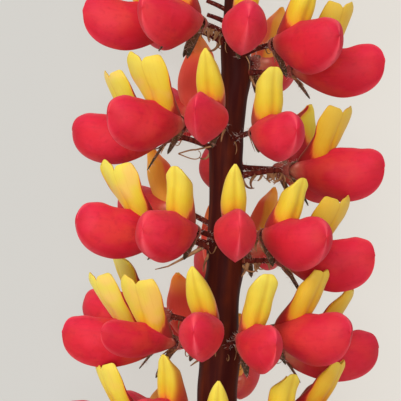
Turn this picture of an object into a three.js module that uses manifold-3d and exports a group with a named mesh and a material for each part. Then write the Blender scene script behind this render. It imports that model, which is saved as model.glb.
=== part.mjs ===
// A lupin flower spike, cut with its stalk and laid on its side. The stem runs along Y with the tip
// of the spike towards +Y, +Z is up, and the lowest flowers of the whorls rest on the surface.
// Lengths are in millimetres and angles in degrees.
import * as THREE from "three";
import { mergeVertices } from "three/addons/utils/BufferGeometryUtils.js";
import Module from "manifold-3d";

const axisHeight = 21.5; // from the surface up to the stem's axis
const cutEnd = -100; // where the stalk was cut, measured along the stem
const stemTip = 91;
const tipRound = 0.3; // height of the stem's rounded end
const stemSway = 0.0003; // sideways bow of the stem, per millimetre squared
const stemSides = 10;
const stemRows = 16;
const stemRadii = [ // [distance along the stem, radius there]
  [cutEnd, 3.5], [-40, 3.35], [-13, 3.15], [10, 2.7], [25, 2.4], [60, 1.7], [84, 1.0], [stemTip, 0.5],
];

const pedicel = { radius: 0.42, reach: 9.3, rise: 2.7, straight: 3 };
const calyx = { sides: 5, belly: 1.2, rim: 1.45, length: 1.6, lip: { out: 5.2, down: 4.7 } };

// A flower lies with X out along its wings and Z towards the tip of the spike, from the foot of its calyx.
const pouch = {
  start: 2.15, // clear of the calyx's rim
  length: 14.8,
  halfHeight: 4.35,
  halfWidth: 3.55,
  widest: 0.6, // where along its length the section is deepest
  taper: 0.8, // how fast the section grows from the claw
  bluntness: 7, // how square the tip is
  dip: 0.85, // how far the middle line sags
  lift: 0.45, // how far the tip turns up
  crown: 2.3, // how full the section is above
  keel: 1.7, // how full it is below, where it comes to an edge
  around: 8,
  rings: 7,
};
const banner = {
  foot: -0.6,
  top: 10.2,
  front: [5.0, 8.0, 9.4, 10.7, 11.5], // evenly from the foot to the top
  back: [2.7, 2.9, 4.2, 5.8, 8.6],
  halfWidth: 2.25,
  narrowest: 0.35,
  widest: 0.8, // moves the widest section towards the foot
  roundness: 0.8,
  around: 6,
  rings: 6,
};

// The whorls from the lowest up. Each flower is [azimuth, height above its whorl's, pitch]. Azimuth 0 points
// straight up from the surface and 90 points to +X.
const whorls = [
  {
    height: -55,
    size: 1,
    flowers: [
      [-68, 0.5, 4], [-20, -1, 2], [28, 0.5, 0], [72, 0, 3],
      [118, -0.5, 3], [164, -6, 6], [-150, 0.5, 8], [-112, 0.5, 4],
    ],
  },
  {
    height: -37.5,
    size: 1,
    flowers: [
      [-92, -0.8, 3], [-31, 2.8, 0], [-2, -0.8, 0], [37, 0.5, 0],
      [70, 2, 2], [118, -1, 0], [168, -9, 6], [-140, 0.5, 4],
    ],
  },
  {
    height: -23,
    size: 1,
    flowers: [
      [-116, 3.2, 2], [-88, -0.7, 2], [-47, -0.5, 3], [-10, 2.4, 0], [18, 0.9, 0],
      [50, 2, 3], [94, -1.9, 5], [166, -8, 8], [-152, -0.6, 6],
    ],
  },
  {
    height: -5.5,
    size: 1,
    flowers: [
      [-67, -0.6, 6], [-30, 0.3, 0], [4, 1, 0], [36, 0.1, 0],
      [66, -3.9, 4], [153, -2, 0], [-174, -7, 12], [-140, 3.1, 4],
    ],
  },
  {
    height: 11.5,
    size: 1,
    flowers: [
      [-94, -1.3, 0], [-48, 0.3, 3], [-13, 1.8, 0], [22, -0.4, 0],
      [73, -6.1, 3], [125, -5.9, 0], [-176, -6.8, 10], [-150, 2.6, 6],
    ],
  },
  {
    height: 28,
    size: 1,
    flowers: [
      [-72, 0.2, 3], [-35, 0.3, 2], [3, -0.2, 0], [37, -2.6, 2],
      [66, -6.5, 6], [155, -4.8, 2], [-142, 1.5, 6],
    ],
  },
  {
    height: 46,
    size: 0.88,
    flowers: [[-70, 0, 6], [-18, 0.6, 6], [34, 0, 6], [88, 0, 4], [146, -0.6, 8], [-132, 0.5, 8]],
  },
  {
    height: 60,
    size: 0.7,
    flowers: [[-95, 0, 16], [-28, 0.5, 16], [40, 0, 16], [110, 0, 16], [178, 0.3, 16]],
  },
];
const restingFrom = 138; // flowers turned further down than this lie on the surface
const restingWhorls = 6; // the upper, smaller whorls hang clear of it

// The closed buds of the tip, ring by ring. Lean is the angle between a bud and the stem.
const budRings = [
  { height: 67, count: 7, length: 10.5, radius: 1.7, lean: 48 },
  { height: 74, count: 7, length: 9, radius: 1.5, lean: 42 },
  { height: 80.5, count: 6, length: 7.2, radius: 1.2, lean: 34 },
  { height: 86, count: 5, length: 5.6, radius: 0.95, lean: 26 },
];

const bud = { around: 5, rings: 4, fullest: 1.3, bluntness: 0.8 };

const radians = THREE.MathUtils.degToRad;
const sway = (y) => stemSway * y * y;
const stemPoint = (y) => new THREE.Vector3(sway(y), y, axisHeight);

const wasm = await Module();
wasm.setup();

function closedBody(geometry) {
  const bare = geometry.index ? geometry.toNonIndexed() : geometry.clone();
  bare.deleteAttribute("normal");
  bare.deleteAttribute("uv");
  const merged = mergeVertices(bare, 1e-4);
  return new wasm.Manifold(new wasm.Mesh({
    numProp: 3,
    vertProperties: new Float32Array(merged.attributes.position.array),
    triVerts: new Uint32Array(merged.index.array),
  }));
}

// A solid whose faces point out, whichever way the surface was wound.
function solid(geometry) {
  const body = closedBody(geometry);
  if (body.volume() > 0) return body;
  const index = geometry.index.array;
  for (let i = 0; i < index.length; i += 3) [index[i], index[i + 1]] = [index[i + 1], index[i]];
  return closedBody(geometry);
}

function geometryOf(manifold) {
  const mesh = manifold.getMesh();
  const geometry = new THREE.BufferGeometry();
  geometry.setAttribute("position", new THREE.BufferAttribute(mesh.vertProperties, 3));
  geometry.setIndex(new THREE.BufferAttribute(mesh.triVerts, 1));
  geometry.computeVertexNormals();
  return geometry;
}

// Moves each point of a unit sphere. Along runs from 0 to 1 between its poles, where open is false.
function reshapedSphere({ around, rings }, place) {
  const geometry = new THREE.SphereGeometry(1, around, rings);
  const points = geometry.attributes.position;
  for (let i = 0; i < points.count; i += 1) {
    const y = points.getY(i);
    const open = Math.abs(y) < 0.9999;
    const angle = open ? Math.atan2(points.getZ(i), points.getX(i)) : 0;
    points.setXYZ(i, ...place((1 - y) / 2, angle, open));
  }
  return geometry;
}

// The value at t, from 0 to 1, of a line through evenly spaced values.
function between(values, t) {
  const last = values.length - 1;
  const step = Math.min(Math.floor(t * last), last - 1);
  return THREE.MathUtils.lerp(values[step], values[step + 1], t * last - step);
}

// The two wings, joined below into an inflated pouch: blunt at the tip and keeled below.
function pouchPoint(along, angle, open) {
  const growth = Math.sin((Math.PI / 2) * Math.min(along / pouch.widest, 1)) ** pouch.taper;
  const swell = open ? growth * Math.sqrt(1 - along ** pouch.bluntness) : 0;
  const middle = pouch.lift * along ** 5 - pouch.dip * Math.sin(Math.PI * along ** 1.4);
  const fullness = Math.cos(angle) > 0 ? pouch.crown : pouch.keel;
  const side = Math.sign(Math.sin(angle)) * (1 - Math.abs(Math.cos(angle)) ** fullness);
  return [
    pouch.start + pouch.length * along,
    pouch.halfWidth * swell * side,
    middle + pouch.halfHeight * swell * Math.cos(angle),
  ];
}

// The banner stands over the wings and leans out, with its sides folded back.
function bannerPoint(along, angle, open) {
  const rise = 1 - along;
  const front = between(banner.front, rise);
  const back = between(banner.back, rise);
  const fullness = Math.sin(Math.PI * rise ** banner.widest) ** banner.roundness;
  const width = open ? banner.halfWidth * THREE.MathUtils.lerp(banner.narrowest, 1, fullness) : 0;
  const depth = open ? (front - back) / 2 : 0;
  return [
    (front + back) / 2 + depth * Math.cos(angle),
    width * Math.sin(angle),
    THREE.MathUtils.lerp(banner.foot, banner.top, rise),
  ];
}

const wings = solid(reshapedSphere(pouch, pouchPoint));
const petals = geometryOf(wings.add(solid(reshapedSphere(banner, bannerPoint))));

function flowerTurn(azimuth, pitch) {
  const out = new THREE.Vector3(Math.sin(radians(azimuth)), 0, Math.cos(radians(azimuth)));
  const up = new THREE.Vector3(0, 1, 0);
  const basis = new THREE.Matrix4().makeBasis(out, new THREE.Vector3().crossVectors(up, out), up);
  const lean = new THREE.Matrix4().makeRotationY(-radians(pitch));
  return new THREE.Quaternion().setFromRotationMatrix(basis.multiply(lean));
}

// How far out a flower's foot is. A flower that lies on the surface is pushed in until it just touches.
function footRadius(azimuth, turn, size, resting) {
  if (!resting) return pedicel.reach * size;
  const points = petals.attributes.position;
  let lowest = 0;
  for (let i = 0; i < points.count; i += 1) {
    const p = new THREE.Vector3().fromBufferAttribute(points, i).multiplyScalar(size).applyQuaternion(turn);
    lowest = Math.min(lowest, p.z);
  }
  return (axisHeight + lowest) / -Math.cos(radians(azimuth));
}

function flowerPlaces() {
  const places = [];
  whorls.forEach((whorl, w) => whorl.flowers.forEach(([azimuth, lift, pitch], f) => {
    const turn = flowerTurn(azimuth, pitch);
    const resting = Math.abs(azimuth) >= restingFrom && w < restingWhorls;
    const radius = footRadius(azimuth, turn, whorl.size, resting);
    const y = whorl.height + lift;
    const foot = stemPoint(y);
    foot.x += radius * Math.sin(radians(azimuth));
    foot.z += radius * Math.cos(radians(azimuth));
    places.push({ name: `whorl_${w + 1}_flower_${f + 1}`, foot, turn, size: whorl.size, y });
  }));
  return places;
}

function stalk() {
  const profile = new THREE.SplineCurve(stemRadii.map(([y, radius]) => new THREE.Vector2(radius, y)));
  const outline = [
    new THREE.Vector2(0, cutEnd),
    ...profile.getPoints(stemRows),
    new THREE.Vector2(0, stemTip + tipRound),
  ];
  const geometry = new THREE.LatheGeometry(outline, stemSides);
  const points = geometry.attributes.position;
  for (let i = 0; i < points.count; i += 1) {
    const axis = stemPoint(points.getY(i));
    points.setXYZ(i, points.getX(i) + axis.x, axis.y, points.getZ(i) + axis.z);
  }
  return solid(geometry);
}

// A flower's pedicel, which swells into its calyx. The calyx's lower lip points out and down below the wings.
function pedicelAndCalyx({ foot, turn, size, y }) {
  const out = new THREE.Vector3(1, 0, 0).applyQuaternion(turn);
  const side = new THREE.Vector3(0, 1, 0).applyQuaternion(turn);
  const curve = new THREE.QuadraticBezierCurve3(
    stemPoint(y - pedicel.rise * size),
    foot.clone().addScaledVector(out, -pedicel.straight * size),
    foot,
  );
  const rows = [
    { at: curve.getPoint(0), along: curve.getTangent(0), radius: pedicel.radius },
    { at: curve.getPoint(0.5), along: curve.getTangent(0.5), radius: pedicel.radius },
    { at: foot, along: out, radius: pedicel.radius },
    { at: foot.clone().addScaledVector(out, size * calyx.length / 2), along: out, radius: calyx.belly },
    { at: foot.clone().addScaledVector(out, size * calyx.length), along: out, radius: calyx.rim },
  ];
  const tube = new THREE.CylinderGeometry(1, 1, 1, calyx.sides, rows.length - 1);
  const lipTip = new THREE.Vector3(calyx.lip.out, 0, -calyx.lip.down).multiplyScalar(size);
  lipTip.applyQuaternion(turn).add(foot);
  const points = tube.attributes.position;
  for (let i = 0; i < points.count; i += 1) {
    const { at, along, radius } = rows[Math.round((0.5 - points.getY(i)) * (rows.length - 1))];
    const down = new THREE.Vector3().crossVectors(side, along);
    const p = at.clone().addScaledVector(side, points.getX(i) * radius * size);
    p.addScaledVector(down, points.getZ(i) * radius * size);
    const isLip = points.getY(i) < -0.49 && points.getZ(i) > 0.99;
    points.setXYZ(i, ...(isLip ? lipTip : p).toArray());
  }
  return solid(tube);
}

function budsOf({ height, count, length, radius, lean }, ring) {
  const shape = reshapedSphere(bud, (along, angle, open) => {
    const out = 1 - along;
    const swell = open ? radius * Math.sin(Math.PI * out ** bud.fullest) ** bud.bluntness : 0;
    return [length * out, swell * Math.cos(angle), swell * Math.sin(angle)];
  });
  const foot = stemPoint(height);
  return Array.from({ length: count }, (_, i) => {
    const azimuth = (360 * (i + 0.5 * (ring % 2))) / count;
    const turn = flowerTurn(azimuth, 90 - lean);
    return solid(shape.clone().applyQuaternion(turn).translate(foot.x, foot.y, foot.z));
  });
}

const places = flowerPlaces();
const spike = new THREE.Group();

// Stalk, pedicels, calyces and buds grew as one piece.
const shoots = [...places.map(pedicelAndCalyx), ...budRings.flatMap(budsOf)];
const growth = shoots.reduce((grown, shoot) => grown.add(shoot), stalk());

const stemMaterial = new THREE.MeshStandardMaterial({ color: "#4a1c14", roughness: 0.6, metalness: 0 });
const stem = new THREE.Mesh(geometryOf(growth), stemMaterial);
stem.name = "stem";
spike.add(stem);

for (const { name, foot, turn, size } of places) {
  const material = new THREE.MeshStandardMaterial({ color: "#d42a3e", roughness: 0.5, metalness: 0 });
  const flower = new THREE.Mesh(petals.clone().scale(size, size, size), material);
  flower.name = name;
  flower.position.copy(foot);
  flower.quaternion.copy(turn);
  spike.add(flower);
}

// The origin is at the middle of the object's footprint.
const extent = new THREE.Box3().setFromObject(spike, true);
spike.position.set(-(extent.min.x + extent.max.x) / 2, -(extent.min.y + extent.max.y) / 2, -extent.min.z);

export default spike;
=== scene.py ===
import math

import bmesh
import bpy
import numpy as np
from mathutils import Matrix, Vector


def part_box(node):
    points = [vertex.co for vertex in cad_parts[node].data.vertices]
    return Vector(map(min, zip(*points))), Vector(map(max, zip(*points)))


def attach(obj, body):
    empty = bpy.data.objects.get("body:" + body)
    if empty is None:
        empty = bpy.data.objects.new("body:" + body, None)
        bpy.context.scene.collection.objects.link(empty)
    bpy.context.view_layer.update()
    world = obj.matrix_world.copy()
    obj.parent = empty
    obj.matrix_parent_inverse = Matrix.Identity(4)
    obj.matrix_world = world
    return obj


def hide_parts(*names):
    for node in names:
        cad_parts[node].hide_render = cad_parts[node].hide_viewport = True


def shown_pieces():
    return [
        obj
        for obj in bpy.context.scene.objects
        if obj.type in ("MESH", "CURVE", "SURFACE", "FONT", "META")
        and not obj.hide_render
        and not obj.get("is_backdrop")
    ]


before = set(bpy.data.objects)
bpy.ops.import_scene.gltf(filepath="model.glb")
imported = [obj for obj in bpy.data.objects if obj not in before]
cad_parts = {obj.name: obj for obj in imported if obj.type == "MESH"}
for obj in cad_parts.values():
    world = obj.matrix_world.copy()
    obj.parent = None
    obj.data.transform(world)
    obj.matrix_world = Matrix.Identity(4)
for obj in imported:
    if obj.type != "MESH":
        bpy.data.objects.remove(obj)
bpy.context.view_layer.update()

# A lupin spike, cut and laid on its side: the stem runs along Y, tip towards +Y, and the camera looks down.
# Shapes are worked out in millimetres and turned to metres as each mesh is made.
mm = 0.001
body = "root"
luck = np.random.default_rng(11)  # one fixed seed, so every run grows the same spike

spike = {
    "cutEnd": -100.0,  # along the stem, where the stalk was cut
    "tip": 91.0,
    "sway": 0.0003,  # sideways bow of the stem, per mm squared
    # (along, to the side) and (along, radius)
    "kinks": [(-100, 0), (-60, 0), (-40, 0), (-31, -0.4), (-26, -0.1), (-21.7, -0.38), (-15, -0.35),
              (-11.5, 0.2), (-6, 0.1), (0, 0), (5, -0.4), (9, -0.6), (14, -0.33), (17, -0.1), (20, 0.4),
              (24, 0.1), (30, 0), (91, 0)],
    "radii": [(-100, 3.5), (-40, 3.35), (-13, 3.15), (10, 2.7), (25, 2.4), (60, 1.7), (84, 1.0), (91, 0.5)],
}

# Whorls from the lowest up. A flower is (azimuth, height above its whorl's, pitch, how open its banner is,
# how far the banner's top leans to +X in mm); azimuth 0 faces the camera.
whorls = [
    {"height": -55, "size": 1, "flowers": [
        (-68, 0.5, 4, 1, -1), (-20, -1, 2, 0, 0), (28, 0.5, 0, 0, -1), (72, 0, 3, 1, 0),
        (118, -0.5, 3, 0, 0), (164, -6, 6, 0, 0), (-150, 0.5, 8, 0, 0), (-112, 0.5, 4, 0, 0)]},
    {"height": -37.5, "size": 1, "flowers": [
        (-92, -0.8, 3, 1, 0), (-31, 2.8, 0, 0, 0.5), (-2, -0.8, 0, 0, 0), (37, 0.5, 0, 0, -1.5),
        (70, 2, 2, 0.6, 0.5), (118, -1, 0, 0, 0), (168, -9, 6, 0, 0), (-140, 0.5, 4, 0, 4.2)]},
    {"height": -23, "size": 1, "flowers": [
        (-116, 3.2, 2, 0.9, 1), (-88, -0.7, 2, 1, -1.2), (-47, -0.5, 3, 1, -1), (-10, 2.4, 0, 0, -0.9),
        (18, 0.9, 0, 0.1, 0.2), (50, 2, 3, 0.4, 0.8), (94, -1.9, 5, 0.5, 1.4), (166, -8, 8, 0, 0),
        (-152, -0.6, 6, 0, 1)]},
    {"height": -5.5, "size": 1, "flowers": [
        (-67, -0.6, 6, 1, -1.5), (-30, 0.3, 0, 0, 1.5), (4, 1, 0, 0, -0.6), (36, 0.1, 0, 0, -0.9),
        (66, -3.9, 4, 1, 0.8), (153, -2, 0, 0, 0), (-174, -7, 12, 0, 0), (-140, 3.1, 4, 0, 0)]},
    {"height": 11.5, "size": 1, "flowers": [
        (-94, -1.3, 0, 1, 0), (-48, 0.3, 3, 1, -1.1), (-13, 1.8, 0, 0, -0.3), (22, -0.4, 0, 0.1, -1.3),
        (73, -6.1, 3, 1, -0.6), (125, -5.9, 0, 0, -3.2), (-176, -6.8, 10, 0, 0), (-150, 2.6, 6, 0, 2.6)]},
    {"height": 28, "size": 1, "flowers": [
        (-72, 0.2, 3, 1, 0), (-35, 0.3, 2, 0, 0), (3, -0.2, 0, 0, 0), (37, -2.6, 2, 0, 0),
        (66, -6.5, 6, 1, 0), (155, -4.8, 2, 0, 0), (-142, 1.5, 6, 0, 0)]},
    {"height": 46, "size": 0.88, "flowers": [
        (-70, 0, 6, 0.6, 0), (-18, 0.6, 6, 0, 0), (34, 0, 6, 0, 0), (88, 0, 4, 0.6, 0),
        (146, -0.6, 8, 0, 0), (-132, 0.5, 8, 0, 0)]},
    {"height": 60, "size": 0.7, "flowers": [
        (-95, 0, 16, 0, 0), (-28, 0.5, 16, 0, 0), (40, 0, 16, 0, 0), (110, 0, 16, 0, 0),
        (178, 0.3, 16, 0, 0)]},
]


def hexColour(code):
    channels = [int(code[i:i + 2], 16) / 255 for i in (1, 3, 5)]
    return tuple(c / 12.92 if c <= 0.04045 else ((c + 0.055) / 1.055) ** 2.4 for c in channels) + (1.0,)


# One node with its settings. An input is a value, a hex colour, a socket, or a node for its first output.
# stops are a colour ramp's (place, hex colour or grey).
def addNode(tree, kind, inputs=None, stops=(), ease="EASE", **settings):
    node = tree.nodes.new(kind)
    for key, value in settings.items():
        setattr(node, key, value)
    for socket, value in (inputs or {}).items():
        if isinstance(value, bpy.types.Node):
            value = value.outputs[0]
        if isinstance(value, bpy.types.NodeSocket):
            tree.links.new(value, node.inputs[socket])
        else:
            isHex = isinstance(value, str) and value[0] == "#"
            node.inputs[socket].default_value = hexColour(value) if isHex else value
    if stops:
        node.color_ramp.interpolation = ease
        while len(node.color_ramp.elements) < len(stops):
            node.color_ramp.elements.new(0.5)
        for element, (place, colour) in zip(node.color_ramp.elements, stops):
            element.position = place
            element.color = hexColour(colour) if isinstance(colour, str) else (colour, colour, colour, 1)
    return node


def smoothStep(low, high, x):
    t = np.clip((x - low) / (high - low), 0, 1)
    return t * t * (3 - 2 * t)


def hump(x, middle, width):
    return np.exp(-((x - middle) / width) ** 2)


def curveThrough(knots, x):  # smooth interpolation through (x, y) knots
    xs, ys = np.array([k[0] for k in knots], float), np.array([k[1] for k in knots], float)
    slopes = np.gradient(ys, xs)
    i = np.clip(np.searchsorted(xs, x) - 1, 0, len(xs) - 2)
    h = xs[i + 1] - xs[i]
    t = np.clip((x - xs[i]) / h, 0, 1)
    return (ys[i] * (1 + 2 * t) * (1 - t) ** 2 + slopes[i] * h * t * (1 - t) ** 2
            + ys[i + 1] * t * t * (3 - 2 * t) + slopes[i + 1] * h * t * t * (t - 1))


def gridPart(points, uv, flip=False, closed=False, **values):  # a sheet from rows x cols x 3 points
    rows, cols = points.shape[:2]
    r, c = np.meshgrid(np.arange(rows - 1), np.arange(cols - (0 if closed else 1)), indexing="ij")
    a = r * cols + c
    b = r * cols + (c + 1) % cols
    quads = np.stack([a, b, b + cols, a + cols], axis=-1).reshape(-1, 4)
    if flip:
        quads = quads[:, ::-1]
    return {"points": points.reshape(-1, 3), "faces": quads, "uv": uv.reshape(-1, 2), "values": values}


def buildMesh(name, parts, materials, weld=0.002):  # one plain mesh of several sheets, seams welded
    points = np.concatenate([p["points"] for p in parts]) * mm
    faces, uvs, shift = [], [], 0
    for p in parts:
        faces += (p["faces"] + shift).tolist()
        uvs.append(p["uv"])
        shift += len(p["points"])
    mesh = bpy.data.meshes.new(name)
    mesh.from_pydata(points.tolist(), [], faces)
    uvs = np.concatenate(uvs)
    corners = np.empty(len(mesh.loops), dtype=np.int32)
    mesh.loops.foreach_get("vertex_index", corners)
    mesh.uv_layers.new(name="growth").data.foreach_set("uv", uvs[corners].ravel())
    for key in parts[0]["values"]:
        layer = mesh.attributes.new(key, "FLOAT", "POINT")
        layer.data.foreach_set("value", np.concatenate(
            [np.broadcast_to(p["values"][key], len(p["points"])) for p in parts]).astype(np.float32))
    for material in materials:
        mesh.materials.append(material)
    mesh.polygons.foreach_set("use_smooth", [True] * len(mesh.polygons))
    work = bmesh.new()
    work.from_mesh(mesh)
    bmesh.ops.remove_doubles(work, verts=work.verts, dist=weld * mm)
    bmesh.ops.dissolve_degenerate(work, edges=work.edges, dist=0.0005 * mm)
    work.to_mesh(mesh)
    work.free()
    piece = bpy.data.objects.new(name, mesh)
    bpy.context.collection.objects.link(piece)
    return piece


def applied(piece):  # the piece with its modifiers made real
    graph = bpy.context.evaluated_depsgraph_get()
    mesh = bpy.data.meshes.new_from_object(piece.evaluated_get(graph), depsgraph=graph)
    piece.modifiers.clear()
    old, piece.data = piece.data, mesh
    mesh.name = piece.name
    bpy.data.meshes.remove(old)
    return piece


def thicken(piece, thickness, offset=-1.0, outer=0):  # outer: which material the far side takes
    wall = piece.modifiers.new("wall", "SOLIDIFY")
    wall.thickness, wall.offset, wall.material_offset = thickness * mm, offset, outer
    wall.use_even_offset = False
    return applied(piece)


def standFor(piece, nodes):
    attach(piece, body)
    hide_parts(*nodes)
    return piece


def cutMiddle():  # the middle of the CAD stem's cut face
    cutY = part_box("stem")[0].y
    cut = [v.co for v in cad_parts["stem"].data.vertices if v.co.y < cutY + 0.01 * mm]
    xs, zs = [v.x for v in cut], [v.z for v in cut]
    return Vector(((min(xs) + max(xs)) / 2, cutY, (min(zs) + max(zs)) / 2)) / mm


cutCentre = cutMiddle()
origin = np.array([
    cutCentre.x - spike["sway"] * spike["cutEnd"] ** 2, cutCentre.y - spike["cutEnd"], cutCentre.z])


def stemBow(y):  # how far the stem's middle lies to +X: a slow bow, and a slight kink at each whorl
    return spike["sway"] * y * y + curveThrough(spike["kinks"], y)


def stemPoint(y):
    return origin + np.array([stemBow(y), y, 0.0])


def flowerTurn(azimuth, pitch, roll=0.0):  # a flower's axes: out from the stem, sideways, and up along it
    a, p, r = math.radians(azimuth), math.radians(pitch), math.radians(roll)
    out, up = np.array([math.sin(a), 0, math.cos(a)]), np.array([0.0, 1, 0])
    basis = np.column_stack([out, np.cross(up, out), up])
    lean = np.array([[math.cos(p), 0, -math.sin(p)], [0, 1, 0], [math.sin(p), 0, math.cos(p)]])
    twist = np.array([[1, 0, 0], [0, math.cos(r), -math.sin(r)], [0, math.sin(r), math.cos(r)]])
    return basis @ lean @ twist


wings = {
    "start": 0.6, "length": 16.35, "halfHeight": 4.35, "halfWidth": 3.6, "widest": 0.6, "blunt": 7,
    "dip": 0.85, "lift": 0.45, "crown": 2.6, "rows": 46, "cols": 44,
}
plain = {"slender": 1.0, "raised": 0.0, "claw": 0.8, "blunt": 0.0, "tall": 1.0, "shade": 1.0, "stain": 0.0}
special = {  # what sets single flowers apart; a tone of -1 on a flower that sits in shade paints it lighter, which is painted light
    "whorl_2_flower_2": {"blunt": 0.4, "stain": 0.9},
    "whorl_2_flower_4": {"blunt": 1.0},
    "whorl_2_flower_8": {"slender": 0.78, "raised": -0.4, "tall": 0.55},
    "whorl_3_flower_1": {"shade": 0.0, "tone": -1.0, "plump": 1.3, "blunt": 1.6},
    "whorl_3_flower_2": {"claw": 0.45},
    "whorl_3_flower_3": {"slender": 0.7, "raised": 0.85},
    "whorl_3_flower_4": {"slender": 0.92},
    "whorl_3_flower_5": {"slender": 0.9, "blunt": 1.1, "tall": 1.08},
    "whorl_3_flower_7": {"claw": 0.5},
    "whorl_3_flower_8": {"slender": 0.85},
    "whorl_3_flower_9": {"slender": 0.75, "raised": 0.5, "tall": 0.95, "tone": -1.0, "plump": 1.15},
    "whorl_4_flower_1": {"spread": 1.15},
    "whorl_4_flower_2": {"blunt": 1.2},
    "whorl_4_flower_4": {"blunt": 0.7, "tall": 0.93},
    "whorl_4_flower_6": {"slender": 0.8, "tone": -1.0},
    "whorl_4_flower_8": {"plump": 1.3, "tone": -1.0},
    "whorl_5_flower_3": {"slender": 0.92},
    "whorl_5_flower_4": {"slender": 0.89, "blunt": 0.6, "lip": 0.5},
    "whorl_5_flower_5": {"wave": -0.35, "shoot": 0.9},
    "whorl_5_flower_6": {"shade": 0.2, "tone": -1.0, "shoot": -0.9, "plump": 1.3, "tall": 1.12},
    "whorl_5_flower_8": {"tall": 1.3, "plump": 1.2, "tone": -1.0},
}


def wingPart(own):  # both wings, joined along their lower edge and tip round the keel
    s, a = np.meshgrid(np.linspace(0, 1, wings["rows"]),
                       np.linspace(-1, 1, wings["cols"], endpoint=False), indexing="ij")
    t = (1 - (1 - s) ** 2.0).clip(0, 1)
    side, below = np.sign(a), np.abs(a)  # below: 0 upper edge, 1 lower edge
    c = np.cos(np.pi * below)
    growth = np.sin(np.pi / 2 * np.minimum(t / wings["widest"], 1)) ** own["claw"]
    tall = growth * (1 - t ** wings["blunt"]) ** 0.42
    bow = own["bow"]
    wide = growth * (1 - t ** (5.5 - 1.7 * bow)) ** (0.5 + 0.3 * bow) * (1.02 + 0.05 * bow)
    middle = own["lift"] * wings["lift"] * t ** 5 - wings["dip"] * np.sin(np.pi * t ** 1.4)
    half = (1 - np.abs(c) ** np.where(c > 0, wings["crown"], own["keel"])) ** (0.56 + 0.36 * bow)
    x = wings["start"] + wings["length"] * t
    y = wings["halfWidth"] * own["plump"] * wide * half
    z = middle + wings["halfHeight"] * own["deep"] * tall * c
    crest = hump(below, 0, 0.22)
    # the upper edge has a saddle and a slight frill
    z += crest * (0.22 * hump(t, 0.8, 0.08) - 0.5 * hump(t, 0.58, 0.11)) * own["wave"]
    z += 0.05 * crest * np.sin(38 * t + own["phase"]) * t
    y += 0.45 * hump(t, 0.15, 0.055) * hump(below, 0.33, 0.13)  # the little ear by the claw
    y += 0.06 * np.sin(40 * below + 3) * hump(t, 0.12, 0.12) * half  # folds near the claw
    y -= 0.45 * hump(t, 0.42, 0.2) * hump(below, 0.2, 0.1)  # hollow under the banner
    y += 0.12 * np.sin(7 * t + 5 * a + own["phase"]) * half * wide  # soft unevenness
    y += 0.05 * np.sin(17 * t - 9 * a + 2 * own["phase"]) * half * wide
    x += 0.15 * np.sin(5 * a + own["phase"]) * t * half
    ridge = hump(below, 1, 0.07)
    y *= 1 - 0.22 * ridge  # the joined edge stands proud
    z -= 0.12 * ridge * tall
    z -= 0.3 * hump(below, 0, 0.04) * smoothStep(0.95, 0.6, t) * tall  # the slit between them above
    z = z * own["slender"] + own["raised"] * smoothStep(0, 0.4, t)
    points = np.stack([x, side * y * own["slender"], z], axis=-1)
    uv = np.stack([(a + 1) / 2, t], axis=-1)
    return gridPart(points, uv, closed=True, tone=own["tone"], below=below.ravel())


banner = {
    "foot": -0.4, "top": 10.1,
    "front": [(0, 4.4), (0.12, 6.3), (0.28, 8.0), (0.5, 9.4), (0.75, 10.7), (0.92, 11.4), (1, 11.5)],
    "back": [(0, 2.6), (0.15, 2.5), (0.3, 3.0), (0.5, 4.0), (0.75, 5.7), (0.92, 7.2), (1, 8.2)],
    "width": [(0, 1.0), (0.15, 1.75), (0.35, 2.1), (0.48, 2.15), (0.7, 1.75), (0.85, 1.2), (0.94, 0.7),
              (1, 0.16)],
    "box": 2.5, "sweep": 150, "pivot": 6.5, "wall": 0.2, "rows": 34, "cols": 45,
    # azimuths past which a banner takes painted shade, another colour or shape, in degrees
    "turned": 40, "behind": 100, "farBehind": 130, "facingAway": 145,
}


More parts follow.
